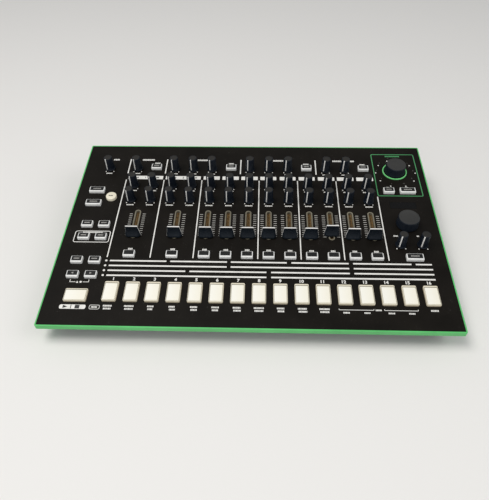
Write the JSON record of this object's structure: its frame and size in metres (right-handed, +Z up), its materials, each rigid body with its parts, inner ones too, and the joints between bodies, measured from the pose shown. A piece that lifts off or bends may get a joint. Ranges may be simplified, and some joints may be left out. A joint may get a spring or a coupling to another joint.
{
  "type": "drum machine",
  "caption": "Tabletop drum machine: a sloping control panel in a bright rim with step pads, faders, knobs, two dials and buttons over a shallow case with sockets at the back.",
  "frame": {"origin": "middle of the machine's footprint, on the table", "axes": "+X to the player's right, +Y to the back, +Z up"},
  "size_m": [0.4, 0.2592, 0.0649],
  "materials": {
    "panel_black": "satin black paint with white print",
    "rim_green": "satin bright green",
    "case_black": "fine moulded grain",
    "board_green": "solder mask",
    "bare_metal": "plain",
    "switch_plastic": "moulded",
    "slot_liner": "clear tan",
    "ring_light": "lit clear plastic",
    "display_window": "smoked, glossy",
    "socket_plastic": "moulded",
    "foot_rubber": "matte",
    "screw_steel": "black zinc",
    "knob_plastic": "satin, soft touch",
    "button_white": "translucent white",
    "pad_lit": "translucent, lit from inside"
  },
  "bodies": {
    "case": {"top_panel": "panel_black", "rim_frame": "rim_green", "bottom_case": "case_black", "control_board": "board_green", "rotary_pots": "bare_metal", "slide_pots": "bare_metal", "push_switches": "switch_plastic", "fader_slot_liners": "slot_liner", "scatter_light_ring": "ring_light", "tempo_display": "display_window", "jack_board": "board_green", "phone_jacks": "socket_plastic", "rear_sockets": "socket_plastic", "rubber_feet": "foot_rubber", "screws": "screw_steel", "strip_knobs": "knob_plastic"},
    "volume_knob": {"volume_knob": "knob_plastic"},
    "accent_knob": {"accent_knob": "knob_plastic"},
    "reverb_level_knob": {"reverb_level_knob": "knob_plastic"},
    "reverb_time_knob": {"reverb_time_knob": "knob_plastic"},
    "reverb_gate_knob": {"reverb_gate_knob": "knob_plastic"},
    "delay_level_knob": {"delay_level_knob": "knob_plastic"},
    "delay_time_knob": {"delay_time_knob": "knob_plastic"},
    "delay_feedback_knob": {"delay_feedback_knob": "knob_plastic"},
    "input_level_knob": {"input_level_knob": "knob_plastic"},
    "input_duck_knob": {"input_duck_knob": "knob_plastic"},
    "scatter_dial": {"scatter_dial": "knob_plastic"},
    "tempo_dial": {"tempo_dial": "knob_plastic"},
    "fader_1": {"fader_1": "knob_plastic"},
    "fader_2": {"fader_2": "knob_plastic"},
    "fader_3": {"fader_3": "knob_plastic"},
    "fader_4": {"fader_4": "knob_plastic"},
    "fader_5": {"fader_5": "knob_plastic"},
    "fader_6": {"fader_6": "knob_plastic"},
    "fader_7": {"fader_7": "knob_plastic"},
    "fader_8": {"fader_8": "knob_plastic"},
    "fader_9": {"fader_9": "knob_plastic"},
    "fader_10": {"fader_10": "knob_plastic"},
    "fader_11": {"fader_11": "knob_plastic"},
    "step_pad_1": {"step_pad_1": "pad_lit"},
    "step_pad_2": {"step_pad_2": "pad_lit"},
    "step_pad_3": {"step_pad_3": "pad_lit"},
    "step_pad_4": {"step_pad_4": "pad_lit"},
    "step_pad_5": {"step_pad_5": "pad_lit"},
    "step_pad_6": {"step_pad_6": "pad_lit"},
    "step_pad_7": {"step_pad_7": "pad_lit"},
    "step_pad_8": {"step_pad_8": "pad_lit"},
    "step_pad_9": {"step_pad_9": "pad_lit"},
    "step_pad_10": {"step_pad_10": "pad_lit"},
    "step_pad_11": {"step_pad_11": "pad_lit"},
    "step_pad_12": {"step_pad_12": "pad_lit"},
    "step_pad_13": {"step_pad_13": "pad_lit"},
    "step_pad_14": {"step_pad_14": "pad_lit"},
    "step_pad_15": {"step_pad_15": "pad_lit"},
    "step_pad_16": {"step_pad_16": "pad_lit"},
    "start_button": {"start_button": "pad_lit"},
    "channel_buttons": {"channel_buttons": "button_white"},
    "mode_buttons": {"mode_buttons": "button_white"},
    "effect_buttons": {"effect_buttons": "button_white"},
    "power_switch": {"power_switch": "socket_plastic"}
  },
  "joints": [
    {"name": "volume_knob_turn", "type": "hinge", "parent": "case", "child": "volume_knob", "pos_m": [-0.169, 0.08695, 0.04708], "axis": [0, -0.1028, 0.9947], "range_deg": [-300, 0]},
    {"name": "accent_knob_turn", "type": "hinge", "parent": "case", "child": "accent_knob", "pos_m": [-0.136, 0.08695, 0.04708], "axis": [0, -0.1028, 0.9947], "range_deg": [-300, 0]},
    {"name": "reverb_level_knob_turn", "type": "hinge", "parent": "case", "child": "reverb_level_knob", "pos_m": [-0.0918, 0.08695, 0.04708], "axis": [0, -0.1028, 0.9947], "range_deg": [-300, 0]},
    {"name": "reverb_time_knob_turn", "type": "hinge", "parent": "case", "child": "reverb_time_knob", "pos_m": [-0.0697, 0.08695, 0.04708], "axis": [0, -0.1028, 0.9947], "range_deg": [-300, 0]},
    {"name": "reverb_gate_knob_turn", "type": "hinge", "parent": "case", "child": "reverb_gate_knob", "pos_m": [-0.0476, 0.08695, 0.04708], "axis": [0, -0.1028, 0.9947], "range_deg": [-300, 0]},
    {"name": "delay_level_knob_turn", "type": "hinge", "parent": "case", "child": "delay_level_knob", "pos_m": [-0.0034, 0.08695, 0.04708], "axis": [0, -0.1028, 0.9947], "range_deg": [-300, 0]},
    {"name": "delay_time_knob_turn", "type": "hinge", "parent": "case", "child": "delay_time_knob", "pos_m": [0.0187, 0.08695, 0.04708], "axis": [0, -0.1028, 0.9947], "range_deg": [-300, 0]},
    {"name": "delay_feedback_knob_turn", "type": "hinge", "parent": "case", "child": "delay_feedback_knob", "pos_m": [0.0408, 0.08695, 0.04708], "axis": [0, -0.1028, 0.9947], "range_deg": [-300, 0]},
    {"name": "input_level_knob_turn", "type": "hinge", "parent": "case", "child": "input_level_knob", "pos_m": [0.085, 0.08695, 0.04708], "axis": [0, -0.1028, 0.9947], "range_deg": [-300, 0]},
    {"name": "input_duck_knob_turn", "type": "hinge", "parent": "case", "child": "input_duck_knob", "pos_m": [0.1071, 0.08695, 0.04708], "axis": [0, -0.1028, 0.9947], "range_deg": [-300, 0]},
    {"name": "scatter_dial_turn", "type": "hinge", "parent": "case", "child": "scatter_dial", "pos_m": [0.1654, 0.08546, 0.04692], "axis": [0, -0.1028, 0.9947], "continuous": true},
    {"name": "tempo_dial_turn", "type": "hinge", "parent": "case", "child": "tempo_dial", "pos_m": [0.1664, 0.0028, 0.03838], "axis": [0, -0.1028, 0.9947], "continuous": true},
    {"name": "fader_1_slide", "type": "slide", "parent": "case", "child": "fader_1", "axis": [0, 0.9947, 0.1028], "range_m": [0, 0.0315]},
    {"name": "fader_2_slide", "type": "slide", "parent": "case", "child": "fader_2", "axis": [0, 0.9947, 0.1028], "range_m": [0, 0.0315]},
    {"name": "fader_3_slide", "type": "slide", "parent": "case", "child": "fader_3", "axis": [0, 0.9947, 0.1028], "range_m": [0, 0.0315]},
    {"name": "fader_4_slide", "type": "slide", "parent": "case", "child": "fader_4", "axis": [0, 0.9947, 0.1028], "range_m": [0, 0.0315]},
    {"name": "fader_5_slide", "type": "slide", "parent": "case", "child": "fader_5", "axis": [0, 0.9947, 0.1028], "range_m": [0, 0.0315]},
    {"name": "fader_6_slide", "type": "slide", "parent": "case", "child": "fader_6", "axis": [0, 0.9947, 0.1028], "range_m": [0, 0.0315]},
    {"name": "fader_7_slide", "type": "slide", "parent": "case", "child": "fader_7", "axis": [0, 0.9947, 0.1028], "range_m": [0, 0.0315]},
    {"name": "fader_8_slide", "type": "slide", "parent": "case", "child": "fader_8", "axis": [0, 0.9947, 0.1028], "range_m": [0, 0.0315]},
    {"name": "fader_9_slide", "type": "slide", "parent": "case", "child": "fader_9", "axis": [0, 0.9947, 0.1028], "range_m": [-0.004, 0.0275]},
    {"name": "fader_10_slide", "type": "slide", "parent": "case", "child": "fader_10", "axis": [0, 0.9947, 0.1028], "range_m": [0, 0.0315]},
    {"name": "fader_11_slide", "type": "slide", "parent": "case", "child": "fader_11", "axis": [0, 0.9947, 0.1028], "range_m": [0, 0.0315]},
    {"name": "step_pad_1_press", "type": "slide", "parent": "case", "child": "step_pad_1", "axis": [0, 0.1028, -0.9947], "range_m": [0, 0.0015], "stiffness_N_per_m": 400},
    {"name": "step_pad_2_press", "type": "slide", "parent": "case", "child": "step_pad_2", "axis": [0, 0.1028, -0.9947], "range_m": [0, 0.0015], "stiffness_N_per_m": 400},
    {"name": "step_pad_3_press", "type": "slide", "parent": "case", "child": "step_pad_3", "axis": [0, 0.1028, -0.9947], "range_m": [0, 0.0015], "stiffness_N_per_m": 400},
    {"name": "step_pad_4_press", "type": "slide", "parent": "case", "child": "step_pad_4", "axis": [0, 0.1028, -0.9947], "range_m": [0, 0.0015], "stiffness_N_per_m": 400},
    {"name": "step_pad_5_press", "type": "slide", "parent": "case", "child": "step_pad_5", "axis": [0, 0.1028, -0.9947], "range_m": [0, 0.0015], "stiffness_N_per_m": 400},
    {"name": "step_pad_6_press", "type": "slide", "parent": "case", "child": "step_pad_6", "axis": [0, 0.1028, -0.9947], "range_m": [0, 0.0015], "stiffness_N_per_m": 400},
    {"name": "step_pad_7_press", "type": "slide", "parent": "case", "child": "step_pad_7", "axis": [0, 0.1028, -0.9947], "range_m": [0, 0.0015], "stiffness_N_per_m": 400},
    {"name": "step_pad_8_press", "type": "slide", "parent": "case", "child": "step_pad_8", "axis": [0, 0.1028, -0.9947], "range_m": [0, 0.0015], "stiffness_N_per_m": 400},
    {"name": "step_pad_9_press", "type": "slide", "parent": "case", "child": "step_pad_9", "axis": [0, 0.1028, -0.9947], "range_m": [0, 0.0015], "stiffness_N_per_m": 400},
    {"name": "step_pad_10_press", "type": "slide", "parent": "case", "child": "step_pad_10", "axis": [0, 0.1028, -0.9947], "range_m": [0, 0.0015], "stiffness_N_per_m": 400},
    {"name": "step_pad_11_press", "type": "slide", "parent": "case", "child": "step_pad_11", "axis": [0, 0.1028, -0.9947], "range_m": [0, 0.0015], "stiffness_N_per_m": 400},
    {"name": "step_pad_12_press", "type": "slide", "parent": "case", "child": "step_pad_12", "axis": [0, 0.1028, -0.9947], "range_m": [0, 0.0015], "stiffness_N_per_m": 400},
    {"name": "step_pad_13_press", "type": "slide", "parent": "case", "child": "step_pad_13", "axis": [0, 0.1028, -0.9947], "range_m": [0, 0.0015], "stiffness_N_per_m": 400},
    {"name": "step_pad_14_press", "type": "slide", "parent": "case", "child": "step_pad_14", "axis": [0, 0.1028, -0.9947], "range_m": [0, 0.0015], "stiffness_N_per_m": 400},
    {"name": "step_pad_15_press", "type": "slide", "parent": "case", "child": "step_pad_15", "axis": [0, 0.1028, -0.9947], "range_m": [0, 0.0015], "stiffness_N_per_m": 400},
    {"name": "step_pad_16_press", "type": "slide", "parent": "case", "child": "step_pad_16", "axis": [0, 0.1028, -0.9947], "range_m": [0, 0.0015], "stiffness_N_per_m": 400},
    {"name": "start_button_press", "type": "slide", "parent": "case", "child": "start_button", "axis": [0, 0.1028, -0.9947], "range_m": [0, 0.0015], "stiffness_N_per_m": 400},
    {"name": "channel_buttons_press", "type": "slide", "parent": "case", "child": "channel_buttons", "axis": [0, 0.1028, -0.9947], "range_m": [0, 0.0008], "stiffness_N_per_m": 2000},
    {"name": "mode_buttons_press", "type": "slide", "parent": "case", "child": "mode_buttons", "axis": [0, 0.1028, -0.9947], "range_m": [0, 0.0008], "stiffness_N_per_m": 2000},
    {"name": "effect_buttons_press", "type": "slide", "parent": "case", "child": "effect_buttons", "axis": [0, 0.1028, -0.9947], "range_m": [0, 0.0008], "stiffness_N_per_m": 2000},
    {"name": "power_switch_tip", "type": "hinge", "parent": "case", "child": "power_switch", "pos_m": [0.17, 0.12109, 0.024], "axis": [1, 0, 0], "range_deg": [-16, 0]}
  ]
}
